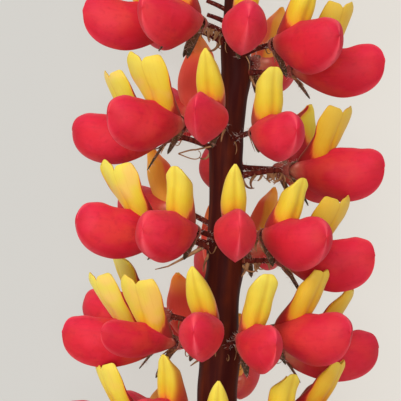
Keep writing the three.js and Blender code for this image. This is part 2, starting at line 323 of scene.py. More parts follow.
def bannerPart(own, azimuth, spread, lean):
    v, u = np.meshgrid(np.linspace(0, 1, banner["rows"]), np.linspace(-1, 1, banner["cols"]), indexing="ij")
    v = 1 - (1 - v) ** 1.25
    opened = spread * own["spread"] * smoothStep(0.1, 0.7, v)
    front, back = curveThrough(banner["front"], v), curveThrough(banner["back"], v)
    front = front + 0.5 * opened * v
    back = back + (0.3 + 0.15 * opened) * smoothStep(0.15, 0.6, v) * (front - back)
    back = back + (1 - opened) * smoothStep(0.75, 1, v) * (front - back - 0.8)
    rearward, facingAway = abs(azimuth) > banner["behind"], azimuth < -banner["facingAway"]
    width = (0.93 + 0.25 * facingAway) * curveThrough(banner["width"], v)
    width = width + opened * (1.6 + 1.4 * smoothStep(0.5, 1, v))
    width = (width + 0.9 * own["blunt"] * smoothStep(0.55, 1, v)) * own["plump"]
    angle = np.radians(banner["sweep"] + 30 * rearward - 58 * opened) * u
    power = 2 / (banner["box"] - 1.05 * opened)
    across = np.sign(np.sin(angle)) * np.abs(np.sin(angle)) ** power
    along = np.sign(np.cos(angle)) * np.abs(np.cos(angle)) ** power
    x = (front + back) / 2 + (front - back) / 2 * along
    y = width * across
    z = banner["foot"] + (banner["top"] - banner["foot"]) * own["tall"] * v + 0 * u
    side = np.abs(u)
    fold = hump(u, 0, 0.08) * (1 - v ** 3) * (1 - 0.5 * opened) + 0.9 * opened * hump(u, 0, 0.16)
    x -= 0.32 * fold * smoothStep(0.02, 0.25, v)  # the fold down the middle
    z += (0.85 * opened - 0.25) * (smoothStep(0.2, 0.7, side) - 0.5) * v * v  # each half has a round top
    z -= opened * v ** 3 * (0.9 * hump(u, 0, 0.14) + 0.7 * smoothStep(0.55, 1, side) ** 2)
    z -= 0.6 * own["blunt"] * v ** 6 * np.abs(across) ** 3  # a blunt top with round corners
    rear = smoothStep(0.55, 1, side)
    y *= 1 + rear * (0.08 * np.sin(9 * v + own["phase"]) + 0.04) * (1 - v)  # loose rear edges
    x += 0.12 * np.sin(6 * v + 2 * u + own["phase"]) + 0.06 * np.sin(13 * v + 5 * u) * v
    y += 0.09 * np.sin(11 * v + 3 * u + own["phase"]) * across * (1 - v)
    y += own["lean"] * smoothStep(0.2, 1, v)
    twist = np.radians(-0.38 * azimuth * spread) * smoothStep(0.0, 0.5, v)  # open ones turn to the light
    out = x - banner["pivot"]
    x = banner["pivot"] + out * np.cos(twist) - y * np.sin(twist)
    y = y * np.cos(twist) + out * np.sin(twist)
    x += lean * smoothStep(0.1, 1, v) * math.sin(math.radians(azimuth))
    y += lean * smoothStep(0.1, 1, v) * math.cos(math.radians(azimuth))
    points = np.stack([x, y, z], axis=-1)
    if rearward:  # the folded sides meet at the back
        points[:, 0] = points[:, -1] = (points[:, 0] + points[:, -1]) / 2
    uv = np.stack([(u + 1) / 2, v], axis=-1)
    farBehind = abs(azimuth) > banner["farBehind"]
    # banners turned away from the light are painted darker and more ochre: painted shade
    shaded = not farBehind and (azimuth > banner["turned"] or azimuth < -banner["behind"])
    ochre = 0.32 * own["shade"] * shaded + 0.6 * farBehind
    ochre += 0.06 * (rearward and azimuth > 0 and not farBehind)
    stemSide = math.copysign(1, -azimuth * math.cos(math.radians(azimuth)))
    return gridPart(points, uv, flip=True, tone=own["tone"], ochre=ochre, stain=own["stain"],
                    inner=(1 - stemSide * across.ravel()) / 2,  # 0 at the side nearer the stem
                    pale=0.55 * spread * (azimuth < banner["turned"]),
                    blush=own["blush"] + 1.5 * rearward + 6.0 * facingAway - 1.0 * spread)


calyx = {"cup": [(0, 0.42), (0.4, 0.8), (1.0, 1.05), (1.8, 1.2), (3, 1.6), (5.5, 2.1)],
         "side": 1.3, "upper": 1.3, "lower": 2.8, "slope": 1.15, "claw": 0.66, "wall": 0.16,
         "rows": 13, "cols": 36}


def calyxPart(own):
    s, angle = np.meshgrid(np.linspace(0, 1, calyx["rows"]),
                           np.linspace(-math.pi, math.pi, calyx["cols"], endpoint=False), indexing="ij")
    below = math.pi - np.abs(angle)
    fromClaw = (below / calyx["claw"]).clip(0, 1)
    down = 1 - fromClaw ** 1.9
    up = np.exp(-(angle / 0.75) ** 4) - 0.35 * hump(angle, 0, 0.12)
    x = (calyx["side"] + calyx["upper"] * up + calyx["lower"] * own["lip"] * down) * s
    radius = curveThrough(calyx["cup"], x)
    lip = (x - 1.2).clip(0) * smoothStep(1.3, 0.5, below) * (1 - 0.4 * fromClaw ** 2)
    y = radius * np.sin(angle)
    z = radius * np.cos(angle) - calyx["slope"] * lip - 0.06 * lip ** 2 * np.sin(own["phase"])
    points = np.stack([x, y, z], axis=-1)
    uv = np.stack([(angle / math.pi + 1) / 2, x / (calyx["side"] + calyx["lower"])], axis=-1)
    return gridPart(points, uv, closed=True, tone=own["tone"])


def ownTraits():  # what chance gives one flower
    return {
        "plump": luck.uniform(0.95, 1.04), "deep": luck.uniform(0.96, 1.02), "lift": luck.uniform(0.3, 1.0),
        "wave": luck.uniform(0, 1.3), "keel": luck.uniform(1.6, 2.2), "bow": luck.uniform(0, 1),
        "phase": luck.uniform(0, 6), "tone": luck.uniform(-1, 1),
        "blush": luck.uniform(0, 1), "lean": luck.uniform(-0.3, 0.3), "spread": luck.uniform(0.75, 1),
        "roll": luck.uniform(-5, 5), "lip": luck.uniform(0.85, 1.1), "shoot": luck.uniform(-1.2, 0.8),
    }


def footOf(node, turn, size):  # the foot of a flower's calyx, from the wing tip, the sides and the banner tip
    corners = np.array([v.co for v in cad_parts[node].data.vertices]) / mm @ turn
    low, high = corners.min(0), corners.max(0)
    length, height = wings["start"] + wings["length"], banner["top"] + banner["wall"] / 2
    return turn @ np.array([high[0] - length * size, (low[1] + high[1]) / 2, high[2] - height * size])


def flowersOf(number, whorl):
    grown = []
    for index, (azimuth, lift, pitch, spread, lean) in enumerate(whorl["flowers"]):
        node = f"whorl_{number}_flower_{index + 1}"
        own = {**ownTraits(), **plain, **special.get(node, {})}
        turn = flowerTurn(azimuth, pitch, own["roll"])
        pair, flag = wingPart(own), bannerPart(own, azimuth, spread, lean)
        foot = footOf(node, flowerTurn(azimuth, pitch), whorl["size"])
        cloud = np.concatenate([pair["points"], flag["points"]]) @ turn.T * whorl["size"]
        foot[2] += max(0.0, -(cloud[:, 2].min() + foot[2]))  # never below the surface
        grown.append({"node": node, "foot": foot, "turn": turn, "size": whorl["size"], "own": own,
                      "pair": pair, "flag": flag, "height": whorl["height"] + lift, "lift": lift})
    return grown


def newTree(name, sockets):
    tree = bpy.data.node_groups.new(name, "GeometryNodeTree")
    tree.interface.new_socket("Geometry", in_out="INPUT", socket_type="NodeSocketGeometry")
    for label, kind in sockets.items():
        tree.interface.new_socket(label, in_out="INPUT", socket_type="NodeSocket" + kind)
    tree.interface.new_socket("Geometry", in_out="OUTPUT", socket_type="NodeSocketGeometry")
    return tree, addNode(tree, "NodeGroupInput").outputs


def endTree(tree, geometry, material):
    real = addNode(tree, "GeometryNodeRealizeInstances", {"Geometry": geometry})
    dressed = addNode(tree, "GeometryNodeSetMaterial", {"Geometry": real, "Material": material})
    addNode(tree, "NodeGroupOutput", {0: dressed})
    return tree


def grow(tree, source, name, **inputs):  # runs the tree on a copy of the source, for a plain mesh piece
    carrier = bpy.data.objects.new(name + "_source", source.data.copy())
    bpy.context.collection.objects.link(carrier)
    growth = carrier.modifiers.new("growth", "NODES")
    growth.node_group = tree
    sockets = {item.name: item.identifier for item in tree.interface.items_tree if item.in_out == "INPUT"}
    for label, value in inputs.items():
        growth[sockets[label]] = value
    graph = bpy.context.evaluated_depsgraph_get()
    mesh = bpy.data.meshes.new_from_object(carrier.evaluated_get(graph), depsgraph=graph)
    mesh.name = name
    bpy.data.objects.remove(carrier)
    piece = bpy.data.objects.new(name, mesh)
    bpy.context.collection.objects.link(piece)
    return piece


def stalkTree():  # sweeps a round section along every curve, as thick as the curve's radius
    tree, given = newTree("sweptStalk", {"Sides": "Int", "Material": "Material"})
    ring = addNode(tree, "GeometryNodeCurvePrimitiveCircle", {"Resolution": given["Sides"], "Radius": 1.0})
    thick = addNode(tree, "GeometryNodeInputRadius")
    swept = addNode(tree, "GeometryNodeCurveToMesh", {
        "Curve": given["Geometry"], "Profile Curve": ring, "Scale": thick, "Fill Caps": True})
    smooth = addNode(tree, "GeometryNodeSetShadeSmooth", {"Geometry": swept})
    return endTree(tree, smooth, given["Material"])


def hairTree():  # short silky hairs that stand on a surface, each leaning its own way
    tree, given = newTree("silkyHairs", {
        "Density": "Float", "Length": "Float", "Thickness": "Float", "Seed": "Int", "Material": "Material"})
    roots = addNode(tree, "GeometryNodeDistributePointsOnFaces", {
        "Mesh": given["Geometry"], "Density": given["Density"], "Seed": given["Seed"]})
    hair = addNode(tree, "GeometryNodeMeshCone", {
        "Vertices": 3, "Radius Bottom": given["Thickness"], "Depth": given["Length"]}, fill_type="NONE")
    tilt = addNode(tree, "FunctionNodeRandomValue", {
        "Min": (-0.7, -0.7, -3.0), "Max": (0.7, 0.7, 3.0), "Seed": given["Seed"]}, data_type="FLOAT_VECTOR")
    asTurn = addNode(tree, "FunctionNodeEulerToRotation", {0: tilt})
    leaning = addNode(tree, "FunctionNodeRotateRotation", {
        "Rotation": roots.outputs["Rotation"], "Rotate By": asTurn}, rotation_space="LOCAL")
    lengths = addNode(tree, "FunctionNodeRandomValue", {
        2: 0.6, 3: 1.3, "Seed": given["Seed"]}, data_type="FLOAT")
    placed = addNode(tree, "GeometryNodeInstanceOnPoints", {
        "Points": roots, "Instance": hair, "Rotation": leaning, "Scale": lengths.outputs[1]})
    return endTree(tree, placed, given["Material"])


def budTree():  # sets one bud on each point, turned and sized by the point's own attributes
    tree, given = newTree("budsOnTip", {"Bud": "Object", "Material": "Material"})
    bud = addNode(tree, "GeometryNodeObjectInfo", {"Object": given["Bud"]})
    turnOf = addNode(tree, "GeometryNodeInputNamedAttribute", {"Name": "turn"}, data_type="FLOAT_VECTOR")
    asTurn = addNode(tree, "FunctionNodeEulerToRotation", {0: turnOf})
    sizeOf = addNode(tree, "GeometryNodeInputNamedAttribute", {"Name": "size"}, data_type="FLOAT_VECTOR")
    points = addNode(tree, "GeometryNodeMeshToPoints", {"Mesh": given["Geometry"]})
    placed = addNode(tree, "GeometryNodeInstanceOnPoints", {
        "Points": points, "Instance": bud.outputs["Geometry"], "Rotation": asTurn, "Scale": sizeOf})
    return endTree(tree, placed, given["Material"])


def curveObject(name, paths):  # paths: list of (points in mm, radii in mm)
    data = bpy.data.curves.new(name, "CURVE")
    data.dimensions = "3D"
    for points, radii in paths:
        spline = data.splines.new("POLY")
        spline.points.add(len(points) - 1)
        for knot, place, radius in zip(spline.points, points, radii):
            knot.co = (*(place * mm), 1)
            knot.radius = radius * mm
    return bpy.data.objects.new(name, data)


def newMaterial(name):
    material = bpy.data.materials.new(name)
    material.use_nodes = True
    material.node_tree.nodes.clear()
    return material, material.node_tree


def endMaterial(material, inputs):  # the surface itself, from the patterns and numbers it is given
    tree = material.node_tree
    skin = addNode(tree, "ShaderNodeBsdfPrincipled", inputs)
    addNode(tree, "ShaderNodeOutputMaterial", {"Surface": skin})
    return material


def product(tree, *masks):  # each mask is an amount, or a pattern and the stops that turn it into one
    amount = None
    for mask in masks:
        if isinstance(mask, tuple):
            mask = addNode(tree, "ShaderNodeValToRGB", {0: mask[0]}, stops=mask[1])
        if amount is not None:
            mask = addNode(tree, "ShaderNodeMath", {0: amount, 1: mask}, operation="MULTIPLY")
        amount = mask
    return amount


def layered(tree, base, *layers):  # colours laid over a base, each where its masks let it show
    for colour, blend, *masks in layers:
        base = addNode(tree, "ShaderNodeMix", {0: product(tree, *masks), 6: base, 7: colour},
                       data_type="RGBA", blend_type=blend).outputs[2]
    return base


def crimsonPetal():  # fresh wing petal: grown smooth and velvety, so a soft broad sheen and faint veins
    material, tree = newMaterial("crimsonWingPetal")
    uv = addNode(tree, "ShaderNodeUVMap", uv_map="growth")
    along = addNode(tree, "ShaderNodeSeparateXYZ", {0: uv}).outputs[1]
    place = addNode(tree, "ShaderNodeTexCoord").outputs["Object"]
    below, tone = (addNode(tree, "ShaderNodeAttribute", attribute_name=key).outputs["Fac"]
                   for key in ("below", "tone"))
    cloud, patches, speckle = (  # clouds and patches about 5 mm across, speckles 0.9 mm
        addNode(tree, "ShaderNodeTexNoise", {"Vector": place, "Scale": perMm / mm, "Detail": 3})
        for perMm in (0.22, 0.19, 1.1))
    # real veins are about 0.2 mm apart: these are twice as far apart, so that they show
    stretched = addNode(tree, "ShaderNodeVectorMath", {0: uv, 1: (60, 3, 1)}, operation="MULTIPLY")
    veins = addNode(tree, "ShaderNodeTexNoise", {"Vector": stretched, "Scale": 1, "Detail": 3})
    offMiddle = addNode(tree, "ShaderNodeMath", {0: below, 1: 0.5}, operation="SUBTRACT")
    toEdge = addNode(tree, "ShaderNodeMath", {0: offMiddle}, operation="ABSOLUTE")
    deeper = addNode(tree, "ShaderNodeMath", {0: tone, 1: 0.15, 2: 0.15}, operation="MULTIPLY_ADD")
    base = addNode(tree, "ShaderNodeValToRGB", {0: along}, stops=[
        (0.08, "#e09a74"), (0.17, "#dc7454"), (0.25, "#d04030"), (0.34, "#d02a24"), (0.5, "#ca1e28"),
        (0.8, "#cd2031"), (1, "#c01a2d")])
    base = layered(
        tree, base,
        # cooler towards the keel and the upper edge, and a painted pink highlight along both edges towards
        # the tip
        ("#d01030", "MIX", (below, [(0.5, 0), (0.9, 0.42)])),
        ("#d81f4e", "MIX", (below, [(0.12, 0.4), (0.55, 0)])),
        ("#ee5a66", "MIX", (toEdge, [(0.3, 0), (0.5, 0.75)]), (along, [(0.5, 0), (0.85, 1)])),
        ("#de3048", "MIX", (cloud, [(0.42, 0), (0.72, 0.5)])),
        ("#d84430", "MIX", (patches, [(0.44, 0), (0.62, 0.75)]), (along, [(0.35, 1), (0.85, 0.3)])),
        ("#a81428", "MIX", (speckle, [(0.5, 0), (0.75, 0.3)])),
        ("#b81c30", "MIX", deeper),
        ("#8f1026", "MIX", (veins, [(0.5, 0), (0.75, 0.14)])),
        # a painted highlight on the ear by the claw, where its bump catches the light
        ("#f6a490", "MIX", (below, [(0.25, 0), (0.34, 1), (0.44, 0)]),
         (along, [(0.08, 0), (0.13, 1), (0.18, 0)])))
    relief = addNode(tree, "ShaderNodeBump", {"Height": veins, "Strength": 0.2, "Distance": 0.1 * mm})
    return endMaterial(material, {
        "Base Color": base, "Roughness": 0.62, "Specular IOR Level": 0.2, "Normal": relief,
        "Subsurface Weight": 0.12, "Subsurface Radius": (1.0, 0.25, 0.25), "Subsurface Scale": 0.8 * mm,
        "Sheen Weight": 0.08, "Sheen Roughness": 0.4, "Sheen Tint": "#ff8fa2"})


# the lower edge of a banner's yellow: (how far from the middle fold, how far up)
yellowEdge = [
    (0, 0.27), (0.12, 0.23), (0.3, 0.21), (0.45, 0.25), (0.6, 0.35), (0.75, 0.52), (0.88, 0.72), (1, 0.95)]


def bannerPetal():  # fresh banner petal: thin and smooth, so light glows through; yellow over a red base
    material, tree = newMaterial("yellowBannerPetal")
    uv = addNode(tree, "ShaderNodeUVMap", uv_map="growth")
    across, up = addNode(tree, "ShaderNodeSeparateXYZ", {0: uv}).outputs[:2]
    place = addNode(tree, "ShaderNodeTexCoord").outputs["Object"]
    blush, ochre, inner, stain, pale, tone = (
        addNode(tree, "ShaderNodeAttribute", attribute_name=key).outputs["Fac"]
        for key in ("blush", "ochre", "inner", "stain", "pale", "tone"))
    cloud, blotch = (  # clouds about 3 mm across, blotches 7 mm
        addNode(tree, "ShaderNodeTexNoise", {"Vector": place, "Scale": perMm / mm, "Detail": 2})
        for perMm in (0.3, 0.15))
    # the yellow's edge wavers about every mm, and ribs are 0.5 mm apart, coarser than real ones so they show
    wide, narrow = (addNode(tree, "ShaderNodeVectorMath", {0: uv, 1: stretch}, operation="MULTIPLY")
                    for stretch in ((24, 6, 1), (50, 2.5, 1)))
    ragged = addNode(tree, "ShaderNodeTexNoise", {"Vector": wide, "Scale": 1, "Detail": 3})
    ribs = addNode(tree, "ShaderNodeTexNoise", {"Vector": narrow, "Scale": 1, "Detail": 2})
    centred = addNode(tree, "ShaderNodeMath", {0: across, 1: 2, 2: -1}, operation="MULTIPLY_ADD")
    side = addNode(tree, "ShaderNodeMath", {0: centred}, operation="ABSOLUTE")
    edge = addNode(tree, "ShaderNodeFloatCurve", {"Value": side})
    line = edge.mapping.curves[0]
    while len(line.points) < len(yellowEdge):
        line.points.new(0.5, 0.5)
    for knot, spot in zip(line.points, yellowEdge):
        knot.location = spot
    edge.mapping.update()
    above = addNode(tree, "ShaderNodeMath", {0: up, 1: edge}, operation="SUBTRACT")
    waver = addNode(tree, "ShaderNodeMath", {0: ragged, 1: 0.5}, operation="SUBTRACT")
    for amount, strength in ((waver, 0.12), (blush, -0.08)):
        above = addNode(tree, "ShaderNodeMath", {0: amount, 1: strength, 2: above}, operation="MULTIPLY_ADD")
    reach = addNode(tree, "ShaderNodeMath", {0: above, 1: 0.3}, operation="ADD", use_clamp=True)
    base = addNode(tree, "ShaderNodeValToRGB", {0: reach}, ease="LINEAR", stops=[
        (0.0, "#9c1420"), (0.22, "#a81a26"), (0.275, "#cc4a2c"), (0.31, "#ea9540"),
        (0.38, "#e4b82e"), (0.56, "#e1ca36"), (1.0, "#e5d454")])
    # rear banners are painted orange for light glowing through them, and red all over or on the half nearer
    # the stem
    redder = addNode(tree, "ShaderNodeMath", {0: blush, 1: 0.1}, operation="MULTIPLY")
    inward = addNode(tree, "ShaderNodeMath", {0: up, 1: 0.25, 2: inner}, operation="MULTIPLY_ADD")
    red = addNode(tree, "ShaderNodeMath", {
        0: product(tree, (redder, [(0.4, 0), (0.6, 1)]), (up, [(0.6, 1), (0.95, 0.3)])),
        1: product(tree, (inward, [(0.7, 0.85), (0.9, 0)]), (up, [(0.72, 1), (0.95, 0.2)]))},
        operation="MAXIMUM")
    paintedShade = addNode(tree, "ShaderNodeMath", {0: ochre, 1: 0.38}, operation="MINIMUM")
    toneAndPaintedLight = addNode(tree, "ShaderNodeMath", {0: tone, 1: 0.12, 2: 0.12}, operation="MULTIPLY_ADD")
    base = layered(
        tree, base,
        ("#c98a24", "MULTIPLY", (side, [(0, 0.2), (0.08, 0)])),  # painted shade in the fold down the middle
        ("#fadc78", "MULTIPLY", (cloud, [(0.4, 0), (0.75, 0.3)])),
        # painted shade: banners turned from the light are darkened towards ochre
        ("#eaa670", "MULTIPLY", paintedShade),
        (layered(tree, "#ffa838", ("#f85240", "MIX", red)), "MIX", (ochre, [(0.4, 0), (0.6, 0.9)])),
        ("#b0301e", "MIX", stain, (inward, [(0.1, 1), (0.32, 0)])),
        ("#eebd74", "MIX", (blotch, [(0.47, 0), (0.66, 1)]), pale, (reach, [(0.36, 0), (0.5, 1)])),
        # random tone, and painted light where a shaded flower's tone is set to -1
        ("#f4c470", "MULTIPLY", toneAndPaintedLight),
        ("#e4b060", "MULTIPLY", (ribs, [(0.5, 0), (0.8, 0.18)])))
    relief = addNode(tree, "ShaderNodeBump", {"Height": ribs, "Strength": 0.2, "Distance": 0.1 * mm})
    return endMaterial(material, {
        "Base Color": base, "Roughness": 0.55, "Specular IOR Level": 0.22, "Normal": relief,
        "Subsurface Weight": 0.25, "Subsurface Radius": (1.0, 0.75, 0.3), "Subsurface Scale": 0.8 * mm,
        "Sheen Weight": 0.15, "Sheen Tint": "#fff0a0"})


def bannerBack():  # the side of the petal that its fold hides: just as smooth, with a deep red glow
    material, tree = newMaterial("redBannerBack")
    uv = addNode(tree, "ShaderNodeUVMap", uv_map="growth")
    up = addNode(tree, "ShaderNodeSeparateXYZ", {0: uv}).outputs[1]
    # streaks about 0.5 mm apart
    stretched = addNode(tree, "ShaderNodeVectorMath", {0: uv, 1: (40, 4, 1)}, operation="MULTIPLY")
    streaks = addNode(tree, "ShaderNodeTexNoise", {"Vector": stretched, "Scale": 1, "Detail": 3})
    waver = addNode(tree, "ShaderNodeMath", {0: streaks, 1: 0.5}, operation="SUBTRACT")
    reach = addNode(tree, "ShaderNodeMath", {0: waver, 1: 0.3, 2: up}, operation="MULTIPLY_ADD")
    base = addNode(tree, "ShaderNodeValToRGB", {0: reach}, stops=[
        (0.0, "#8c1420"), (0.35, "#b8301e"), (0.6, "#cc7a28"), (1.0, "#e0b040")])
    relief = addNode(tree, "ShaderNodeBump", {"Height": streaks, "Strength": 0.2, "Distance": 0.1 * mm})
    return endMaterial(material, {
        "Base Color": base, "Roughness": 0.6, "Specular IOR Level": 0.2, "Normal": relief,
        "Subsurface Weight": 0.5, "Subsurface Radius": (1.0, 0.6, 0.25), "Subsurface Scale": 1.2 * mm})


def calyxSkin():  # sepals: leathery, and a fine down takes their shine; red-brown, with a dark lower lip
    material, tree = newMaterial("downyCalyx")
    uv = addNode(tree, "ShaderNodeUVMap", uv_map="growth")
    along = addNode(tree, "ShaderNodeSeparateXYZ", {0: uv}).outputs[1]
    place = addNode(tree, "ShaderNodeTexCoord").outputs["Object"]
    # down in spots 0.4 mm across, coarser than real down so that it shows
    down = addNode(tree, "ShaderNodeTexNoise", {"Vector": place, "Scale": 2.6 / mm, "Detail": 3})
    base = addNode(tree, "ShaderNodeValToRGB", {0: along}, stops=[
        (0.0, "#863026"), (0.3, "#9c4838"), (0.48, "#5e3c1a"), (1.0, "#2a280c")])
    base = layered(tree, base, ("#c48a72", "MIX", (down, [(0.48, 0), (0.72, 0.4)])))
    relief = addNode(tree, "ShaderNodeBump", {"Height": down, "Strength": 0.4, "Distance": 0.08 * mm})
    return endMaterial(material, {
        "Base Color": base, "Roughness": 0.75, "Normal": relief,
        "Sheen Weight": 0.12, "Sheen Tint": "#e8c8b8"})


def stalkSkin(name, dark, light, perMm):  # stem bark: waxy but dull, and streaked along its length
    material, tree = newMaterial(name)
    place = addNode(tree, "ShaderNodeTexCoord").outputs["Object"]
    stretched = addNode(tree, "ShaderNodeVectorMath", {0: place, 1: (1, 0.09, 1)}, operation="MULTIPLY")
    streaks = addNode(tree, "ShaderNodeTexNoise", {"Vector": stretched, "Scale": perMm / mm, "Detail": 4})
    blotch = addNode(tree, "ShaderNodeTexNoise", {"Vector": place, "Scale": perMm / mm / 4, "Detail": 2})
    base = layered(tree, dark, (light, "MIX", (streaks, [(0.35, 0), (0.7, 1)])),
                   ("#30100e", "MIX", (blotch, [(0.45, 0), (0.75, 0.5)])))
    relief = addNode(tree, "ShaderNodeBump", {"Height": streaks, "Strength": 0.35, "Distance": 0.15 * mm})
    return endMaterial(material, {
        "Base Color": base, "Roughness": 0.6, "Specular IOR Level": 0.06, "Normal": relief})


def mottled(name, roughness, perMm, detail, stops):  # colours that run into each other in patches
    material, tree = newMaterial(name)
    place = addNode(tree, "ShaderNodeTexCoord").outputs["Object"]
    patches = addNode(tree, "ShaderNodeTexNoise", {"Vector": place, "Scale": perMm / mm, "Detail": detail})
    base = addNode(tree, "ShaderNodeValToRGB", {0: patches}, stops=stops)
    return endMaterial(material, {"Base Color": base, "Roughness": roughness})


wingSkin, flagSkin, flagBack, sepalSkin = crimsonPetal(), bannerPetal(), bannerBack(), calyxSkin()
stemSkin = stalkSkin("maroonStem", "#3a0f0c", "#58200f", 0.7)  # streaks about 1.4 mm wide
pedicelSkin = stalkSkin("maroonPedicel", "#4a1614", "#7a3224", 1.5)  # and 0.7 mm
# fine hairs: silky, so they catch the light, silvery with a warm cast
hairSkin = mottled("silkyHair", 0.5, 0.4, 1, [(0.3, "#c79a86"), (0.7, "#ead8cc")])
# withered bracts: dry and papery, so dull, in uneven browns
bractSkin = mottled("dryBract", 0.7, 0.7, 2, [(0.3, "#74441e"), (0.7, "#b08052")])
# pith of a fresh cut: pale and spongy, so dull and finely pored
pithSkin = mottled("cutPith", 0.8, 1.8, 3, [(0.35, "#b9b878"), (0.7, "#d9d6a8")])
print("materials ready")


stalks, hairs = stalkTree(), hairTree()
pedicel = {"rise": 2.7, "straight": 3.0, "base": 0.9, "radius": 0.45, "points": 12, "sides": 10}
allFlowers = []


def pedicelPath(flower):
    out = flower["turn"] @ np.array([1.0, 0, 0])
    rise = pedicel["rise"] + 0.3 * min(0, flower["lift"]) + flower["own"]["shoot"]
    start = stemPoint(flower["height"] - rise * flower["size"])
    turnAt = flower["foot"] - out * pedicel["straight"] * flower["size"]
    end = flower["foot"] + out * 0.2
    s = np.linspace(0.12, 1, pedicel["points"])[:, None]
    points = (1 - s) ** 2 * start + 2 * s * (1 - s) * turnAt + s * s * end
    flare = np.exp(-((s[:, 0] - 0.12) / 0.2) ** 2 * 3)  # towards the stem
    radii = pedicel["radius"] + (pedicel["base"] - pedicel["radius"]) * flare
    radii = radii + 0.05 * smoothStep(0.85, 1, s[:, 0])
    return points, radii * flower["size"]


spare = {"from": [(-4.9, 32.7), (-4.7, 30.4), (-5.2, -6.6)], "to": [(0.4, 30.2), (0.4, 28.3), (0.2, -8.4)],
         "height": 1.0, "radius": (0.34, 0.46), "bend": 0.25, "points": 10}


def spareStalks():  # stalks beside the stem whose flowers have dropped
    paths = []
    share = np.linspace(0, 1, spare["points"])[:, None]
    for start, end in zip(spare["from"], spare["to"]):
        line = np.array([*start, spare["height"]]) * (1 - share) + np.array([*end, 0]) * share
        line[:, 1] += spare["bend"] * np.sin(math.pi * share[:, 0])
        paths.append((origin + line, np.linspace(*spare["radius"], spare["points"])))
    return paths


def placed(part, flower):
    return {**part, "points": part["points"] @ flower["turn"].T * flower["size"] + flower["foot"]}


for number, whorl in enumerate(whorls, 1):
    flowers = flowersOf(number, whorl)
    nodes = [f["node"] for f in flowers]
    petals = [placed(f["pair"], f) for f in flowers]
    standFor(buildMesh(f"wings_whorl_{number}", petals, [wingSkin]), nodes)
    petals = [placed(f["flag"], f) for f in flowers]
    flags = buildMesh(f"banners_whorl_{number}", petals, [flagBack, flagSkin])
    standFor(thicken(flags, banner["wall"], 0.0, outer=1), nodes)
    allFlowers += flowers
    print("whorl", number, len(flowers), "flowers")

cups = buildMesh("calyces", [placed(calyxPart(f["own"]), f) for f in allFlowers], [sepalSkin])
standFor(thicken(cups, calyx["wall"]), ["stem"])
stalkPaths = [pedicelPath(f) for f in allFlowers] + spareStalks()
pedicels = grow(stalks, curveObject("pedicel_paths", stalkPaths), "pedicels", Sides=pedicel["sides"],
                Material=pedicelSkin)
standFor(pedicels, ["stem"])

# Real down is finer and denser: this is as coarse as it has to be to show.
# Hairs to the square metre, length and thickness in mm.
downHair = {"calyces": (2.0e6, 0.7, 0.028), "pedicels": (1.8e6, 0.7, 0.028), "buds": (1.4e6, 0.45, 0.018)}


def downOn(source, seed):
    density, length, thickness = downHair[source.name]
    return grow(hairs, source, source.name + "_down", Density=density, Length=length * mm,
                Thickness=thickness * mm, Seed=seed, Material=hairSkin)


for source in (cups, pedicels):
    standFor(downOn(source, 7), ["stem"])


def bractPath(flower, start, kind, chance):  # a bract that droops and curls
    out = flower["turn"] @ np.array([1.0, 0, 0])
    heading, length = math.radians(chance.uniform(*kind["turn"])), chance.uniform(*kind["length"])
    curl, thickness = chance.uniform(-kind["curl"], kind["curl"]), kind["thickness"]
    if isinstance(thickness, tuple):
        thickness = chance.uniform(*thickness)
    aim = math.cos(heading) * np.array([0, -1.0, 0]) + math.sin(heading) * out
    swing = np.cross(aim, flower["turn"] @ np.array([0, 1.0, 0]))
    points, radii, place = [], [], start.copy()
    for i in range(kind["steps"]):
        s = i / (kind["steps"] - 1)
        bend = curl * smoothStep(0.25, 1, s) * 2 * math.pi
        step = aim * math.cos(bend) + swing * math.sin(bend)
        place = place + step * length / kind["steps"] * (1 - 0.45 * s)
        points.append(place.copy())
        radii.append(thickness * (1 - 0.75 * s))
    return points, radii


# a withered stalk by the stem: x, y, thickness
strand = [(-2.6, -7.4, 0.45), (-3.6, -7.9, 0.42), (-5.2, -8.9, 0.34), (-7.3, -10.2, 0.22),
          (-9.2, -11.3, 0.14), (-11.3, -11.9, 0.08)]
loop = {"start": (-2.4, 8.9), "middle": (-6.5, 7.3), "reach": (1.8, 0.8), "height": 1.5, "thickness": 0.13}


def loopPath():  # one long thread turned back on itself beside the stem
    angle = np.radians(np.linspace(60, 400, 40))
    x = loop["middle"][0] + loop["reach"][0] * np.cos(angle)
    y = loop["middle"][1] + loop["reach"][1] * np.sin(angle) * (0.8 + 0.3 * np.cos(angle))
    y += 0.12 * np.sin(2 * angle)
    x, y = np.append(loop["start"][0], x), np.append(loop["start"][1], y)
    points = origin + np.stack([x, y, loop["height"] + 0.4 * np.sin(0.05 * np.arange(len(x)))], axis=-1)
    return list(points), list(loop["thickness"] * np.linspace(1.2, 0.5, len(x)))


tuft = {"blades": 3, "apart": 0.55, "turn": (25, 60), "length": (2.6, 4.4), "curl": 0.12, "thickness": 0.2,
        "steps": 12, "seed": 5, "bare": ("whorl_5_flower_4",)}
bunch = {"turn": (-35, 60), "length": (1.8, 3.8), "curl": 0.25, "thickness": (0.22, 0.4), "steps": 12,
         "blades": {
             "whorl_3_flower_6": 16, "whorl_3_flower_7": 16, "whorl_4_flower_4": 7, "whorl_4_flower_5": 7,
             "whorl_4_flower_6": 7, "whorl_5_flower_5": 12, "whorl_5_flower_6": 8, "whorl_5_flower_8": 5,
             "whorl_6_flower_2": 16, "whorl_6_flower_5": 5, "whorl_6_flower_7": 18}}
# every stalk has a thread halfway up, and at its foot a curled thread or a broader blade
thread = {"turn": (-20, 60), "length": (3, 5.5), "curl": 0.9, "thickness": 0.13, "steps": 26}
curled = {"turn": (20, 60), "length": (4, 6), "curl": 1.0, "thickness": 0.14, "steps": 26}
blade = {**curled, "curl": 0.3, "thickness": 0.32}


